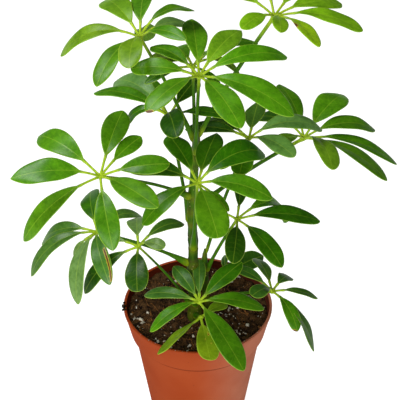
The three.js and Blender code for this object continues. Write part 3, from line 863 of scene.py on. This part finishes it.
def leaf(name, materials):
    """A whole leaf as one piece."""
    skin = Skin()
    petiole(skin, name)
    hub_knob(skin, name)
    for index in range(len(LEAVES[name]["leaflets"])):
        leaflet(skin, name, index)
    piece(name + "_foliage", skin, materials, name)


# Stems

def fluted(radius, height):
    """A radius as a function of the angle, with three shallow flutes that wind round the stem."""
    return lambda angle: radius * (1 + BARK["flutes"] * math.sin(3 * angle + height * 0.2))


def stem(name, path, material):
    """A stem with thickened rings where leaves have grown, scars round them and a knobbly surface."""
    skin = Skin()
    low, high = path[0][2], path[-1][2]
    steps = int((high - low) / STEM_STEP)
    rows = [on_stem(path, low + (high - low) * min(step / steps, 0.9999)) for step in range(steps + 1)]
    smooth = [row[0] for row in rows]
    for _ in range(STEM_SMOOTHING):
        inner = [(a + b * 2 + c) / 4 for a, b, c in zip(smooth, smooth[1:], smooth[2:])]
        smooth = [smooth[0], *inner, smooth[-1]]
    seats = [row["from"] for row in LEAVES.values() if row["stem"] == name]
    scars = seats + [seat - SCAR["drop"] for seat in seats if seat > SCAR["bare_foot"]]
    radii, tints, marks = [], [], []
    for point, (_, radius) in zip(smooth, rows):
        ring = max(bell(point.z - scar, SCAR["reach"]) for scar in scars)
        seat = max(bell(point.z - place, SCAR["seat_reach"]) for place in seats)
        knobs = noise.noise(Vector((point.z * 0.3, radius, 0))) * BARK["knobs"]
        radii.append(fluted(radius + BARK["thickness"] + BARK["ring"] * ring + knobs, point.z))
        # Woody and dark green low down: partly older bark, partly painted shade under the leaves.
        woody = 1 - ramp(point.z, *WOODY_TO_GREEN)
        green = mix(STEM_TINTS["low"], STEM_TINTS["high"], ramp(point.z, *DARK_TO_LIGHT))
        tints.append(mix(mix(green, STEM_TINTS["woody"], woody * 0.7), SHEATH_TINT, seat * 0.35))
        marks.append(ring * 0.55)
    tube(skin, smooth, radii, tints, STEM_SIDES, marks)
    piece(f"stem_{name}_bark", skin, [material], f"stem_{name}")


# Pot

def rounded(corners):
    """A profile with rounded corners, each given as (radius, height, how far its rounding reaches)."""
    points = []
    for i, (radius, height, reach) in enumerate(corners):
        here = Vector((radius, height))
        if reach == 0:
            points.append(here)
            continue
        before = here + (Vector(corners[i - 1][:2]) - here).normalized() * reach
        after = here + (Vector(corners[i + 1][:2]) - here).normalized() * reach
        for step in range(ROUNDING_STEPS + 1):
            t = step / ROUNDING_STEPS
            points.append(before * (1 - t) ** 2 + here * 2 * t * (1 - t) + after * t * t)
    return points


def pot_profile():
    """The pot's profile from the middle of its foot up to the lip and down inside to its floor."""
    return rounded([
        (NEAR_AXIS, 0, 0),
        (FOOT_RADIUS - FOOT_BEVEL_WIDTH, 0, 2.2),
        (FOOT_RADIUS, FOOT_BEVEL_HEIGHT, 0.8),
        *[(BODY_TOP_RADIUS - inset, COLLAR_FOOT - drop, 0.2) for inset, drop in NECK],
        (BODY_TOP_RADIUS, BODY_TOP, 0.4),
        (COLLAR_FOOT_RADIUS, COLLAR_FOOT, 0.5),
        (RIM_RADIUS - LIP["overhang"], POT_HEIGHT - LIP["root"], 0.5),
        (RIM_RADIUS, POT_HEIGHT - LIP["height"], 0.3),
        (RIM_RADIUS, POT_HEIGHT, 0.5),
        (RIM_RADIUS - LIP["width"], POT_HEIGHT, 0.6),
        (MOUTH["radius"], MOUTH["height"], 0.5),
        (COLLAR_FOOT_RADIUS - WALL, INNER_COLLAR_FOOT, 0.6),
        (BODY_TOP_RADIUS - WALL, BODY_TOP, 0.6),
        (FOOT_RADIUS - WALL, FLOOR + FLOOR_BEVEL["height"], 0.8),
        (FOOT_RADIUS - WALL - FLOOR_BEVEL["width"], FLOOR, 0.8),
        (NEAR_AXIS, FLOOR, 0),
    ])


def cut_drain_holes(shell):
    """Drill the ring of drain holes through the pot's floor."""
    drill = bmesh.new()
    radius = DRAIN["radius"] * MM
    for i in range(DRAIN["count"]):
        angle = (i + 0.5) / DRAIN["count"] * math.tau
        place = on_circle(angle, 1, 0) * DRAIN["ring_radius"] * MM
        bmesh.ops.create_cone(
            drill, cap_ends=True, segments=DRAIN_SIDES, radius1=radius, radius2=radius,
            depth=FLOOR * 3 * MM, matrix=Matrix.Translation(place),
        )
    drill_mesh = bpy.data.meshes.new("drill")
    drill.to_mesh(drill_mesh)
    drill.free()
    drill_thing = new_thing("drill", drill_mesh)
    cut = shell.modifiers.new("drain_holes", "BOOLEAN")
    cut.operation = "DIFFERENCE"
    cut.object = drill_thing
    bpy.context.view_layer.objects.active = shell
    bpy.ops.object.modifier_apply(modifier=cut.name)
    bpy.data.objects.remove(drill_thing)


def pot(material):
    skin = Skin()
    rings = []
    inside = False
    for spot in pot_profile():
        # The profile runs down the inside, which gets painted shade, from the first point past the lip.
        inside = inside or (spot.x < RIM_RADIUS - LIP["width"] and spot.y > POT_HEIGHT - 1)
        # The corner under the collar gets a painted shadow.
        by_corner = abs(spot.y - COLLAR_SHADOW["height"]) < COLLAR_SHADOW["reach"]
        under_collar = by_corner and spot.x < COLLAR_FOOT_RADIUS - 1
        shade = 1.0 if inside else COLLAR_SHADOW["depth"] * under_collar
        rings.append([skin.add(on_circle(a, spot.x, spot.y), under=shade) for a in circle_angles(POT_SIDES)])
    skin.join(rings)
    cut_drain_holes(piece("pot_shell", skin, [material], "pot"))


# Potting mix

def soil_height(x, y):
    """The height of the soil's surface: the solid's broad relief, with finer lumps on it."""
    broad = SOIL_RELIEF * (
        0.45 * math.sin(x * 0.19 + 1.3) * math.cos(y * 0.16 - 0.4)
        + 0.35 * math.sin(x * 0.41 - y * 0.33 + 2.1)
        + 0.3 * math.cos(x * 0.27 + y * 0.52)
    )
    lumps = noise.fractal(Vector((x * 0.22, y * 0.22, 3.7)), 0.7, 2.1, 4)
    return SOIL_LEVEL + broad + 0.8 * lumps


def inside_radius(height):
    """The radius of the pot's inside at a height, in its collar or below it."""
    if height >= INNER_COLLAR_FOOT:
        share = (height - INNER_COLLAR_FOOT) / (MOUTH["height"] - INNER_COLLAR_FOOT)
        return between(COLLAR_FOOT_RADIUS - WALL, MOUTH["radius"], share)
    bevel_top = FLOOR + FLOOR_BEVEL["height"]
    share = max(height - bevel_top, 0) / (BODY_TOP - bevel_top)
    return between(FOOT_RADIUS - WALL, BODY_TOP_RADIUS - WALL, min(share, 1))


def soil(material):
    """The potting mix: rings up the pot's side, then inwards over the surface."""
    skin = Skin()
    angles = circle_angles(SOIL_SIDES)
    rings = []
    for height in SOIL_SIDE_HEIGHTS:
        reach = inside_radius(height) - SOIL_GAP["side"]
        rings.append([skin.add(on_circle(angle, reach, height)) for angle in angles])
    edge = inside_radius(SOIL_LEVEL) - SOIL_GAP["surface"]
    for i in range(SOIL_RINGS):
        reach = edge * (1 - i / SOIL_RINGS)
        spots = [(math.cos(angle) * reach, math.sin(angle) * reach) for angle in angles]
        rings.append([skin.add(Vector((x, y, soil_height(x, y)))) for x, y in spots])
    skin.join(rings)
    piece("soil_bed", skin, [material], "soil")


def scatter_spot(dice, inset):
    """A place on the soil as x, y, clear of the stems and at least the inset from the pot's side."""
    while True:
        reach = (inside_radius(SOIL_LEVEL) - inset) * math.sqrt(dice.random())
        angle = dice.uniform(0, math.tau)
        x, y = math.cos(angle) * reach, math.sin(angle) * reach
        feet = [path[1] for path in STEMS.values()]
        if all(math.hypot(x - foot[0], y - foot[1]) > foot[3] + 1 for foot in feet):
            return x, y


def grain(skin, dice, centre, size, flatness, tint, detail):
    """An irregular grain, turned at random, about size across."""
    turn = Matrix.Rotation(dice.uniform(0, math.tau), 3, "Z")
    turn = turn @ Matrix.Rotation(dice.uniform(-0.5, 0.5), 3, "X")
    seed = Vector([dice.uniform(0, 99) for _ in range(3)])
    stretch = Vector((1, dice.uniform(0.55, 0.9), flatness))

    def place_of(spot):
        rough = 0.8 + 0.55 * noise.noise(spot * 1.6 + seed)
        return centre + turn @ (spot * rough * stretch) * (size / 2)

    ball(skin, detail, tint, place_of)


def crumbs(material):
    """Crumbs of bark all over the soil, and a few that lie on the rim at the left."""
    dice = random.Random("crumbs")
    skin = Skin()
    for _ in range(CRUMBS["count"]):
        x, y = scatter_spot(dice, CRUMBS["inset"])
        size = CRUMBS["least"] + CRUMBS["range"] * dice.random() ** 3
        tint = dice.choices(CRUMB_TINTS, CRUMB_SHARES)[0]
        flatness = dice.uniform(0.4, 0.9)
        grain(skin, dice, Vector((x, y, soil_height(x, y) + size * 0.1)), size, flatness, tint, 1)
    for angle, size in RIM_CRUMBS:
        place = on_circle(math.radians(angle), RIM_RADIUS - 0.2, POT_HEIGHT + 0.4)
        grain(skin, dice, place, size, 0.6, CRUMB_TINTS[0], 1)
    piece("soil_crumbs", skin, [material])


def perlite(material):
    """White grains scattered over the soil and in clumps, and small pale specks on the rim."""
    dice = random.Random("perlite")
    skin = Skin()
    inset, least = PERLITE["inset"], PERLITE["least"]
    spots = [(*scatter_spot(dice, inset), least) for _ in range(PERLITE["count"])]
    for x, y, spread in PERLITE_CLUMPS:
        for _ in range(PERLITE["clump_count"]):
            spots.append((dice.gauss(x, spread), dice.gauss(y, spread), PERLITE["clump_least"]))
    for x, y, smallest in spots:
        size = smallest + PERLITE["range"] * dice.random() ** 2.6
        white = dice.uniform(0.3, 0.65)
        tint = (white, white * 0.95, white * 0.8, 1)
        grain(skin, dice, Vector((x, y, soil_height(x, y) + size * 0.12)), size, 0.85, tint, 2)
    for _ in range(RIM_SPECKS["count"]):
        angle = dice.uniform(RIM_SPECKS["from"], RIM_SPECKS["to"])
        place = on_circle(angle, RIM_RADIUS - dice.uniform(0.5, 1.6), POT_HEIGHT + 0.1)
        grain(skin, dice, place, dice.uniform(0.3, 0.7), 0.7, RIM_SPECK_TINT, 1)
    piece("soil_perlite", skin, [material])


def fibres(material):
    """Thin fibres that wander over the soil."""
    dice = random.Random("fibres")
    skin = Skin()
    count = FIBRES["points"]
    for _ in range(FIBRES["count"]):
        x, y = scatter_spot(dice, FIBRES["inset"])
        heading = dice.uniform(0, math.tau)
        step = dice.uniform(0.6, 1.5)
        points = []
        for _ in range(count):
            points.append(Vector((x, y, soil_height(x, y) + FIBRES["above_soil"])))
            heading += dice.uniform(-0.4, 0.4)
            x += math.cos(heading) * step
            y += math.sin(heading) * step
        thick = dice.uniform(0.12, 0.3)
        tube(skin, points, [thick] * count, [dice.choice(FIBRE_TINTS)] * count, FIBRES["sides"])
    piece("soil_fibres", skin, [material])


# Floor, lights and camera

def stage():
    """The white floor that the pot stands on."""
    mesh = bpy.data.meshes.new("floor")
    corners = [(x * GROUND_REACH, y * GROUND_REACH, 0) for x, y in ((-1, -1), (1, -1), (1, 1), (-1, 1))]
    mesh.from_pydata(corners, [], [(0, 1, 2, 3)])
    mesh.materials.append(floor_material())
    floor = new_thing("floor", mesh)


def lamp(name, place, size, power):
    light = bpy.data.lights.new(name, "AREA")
    light.shape = "DISK"
    light.size = size
    light.energy = power
    thing = new_thing(name, light)
    thing.location = place
    thing.rotation_euler = (Vector(LAMP_AIM) - Vector(place)).to_track_quat("-Z", "Y").to_euler()


def lights():
    for name, (place, size, power) in LAMPS.items():
        lamp(name, place, size, power)
    world = bpy.data.worlds.new("studio")
    world.use_nodes = True
    background = world.node_tree.nodes["Background"]
    background.inputs["Color"].default_value = WHITE
    background.inputs["Strength"].default_value = WORLD_STRENGTH
    bpy.context.scene.world = world
    bpy.context.scene.view_settings.view_transform = "Standard"


def camera():
    """The photograph's view, from above the front."""
    elevation = math.radians(CAMERA["elevation"])
    data = bpy.data.cameras.new("camera")
    data.sensor_width = CAMERA["sensor"]
    data.lens = CAMERA["lens"]
    thing = new_thing("camera", data)
    backwards = Vector((0, -math.cos(elevation), math.sin(elevation)))
    thing.location = Vector(CAMERA["aim"]) + backwards * CAMERA["distance"]
    thing.rotation_euler = (math.pi / 2 - elevation, 0, 0)
    bpy.context.scene.camera = thing


camera()
lights()
stage()
pot(pot_material())
earth = soil_material()
soil(earth)
crumbs(earth)
fibres(earth)
perlite(perlite_material())
bark = stem_material()
for stem_name, stem_path in STEMS.items():
    stem(stem_name, stem_path, bark)
leaf_materials = [blade_material(), stalk_material()]
for leaf_name in LEAVES:
    leaf(leaf_name, leaf_materials)
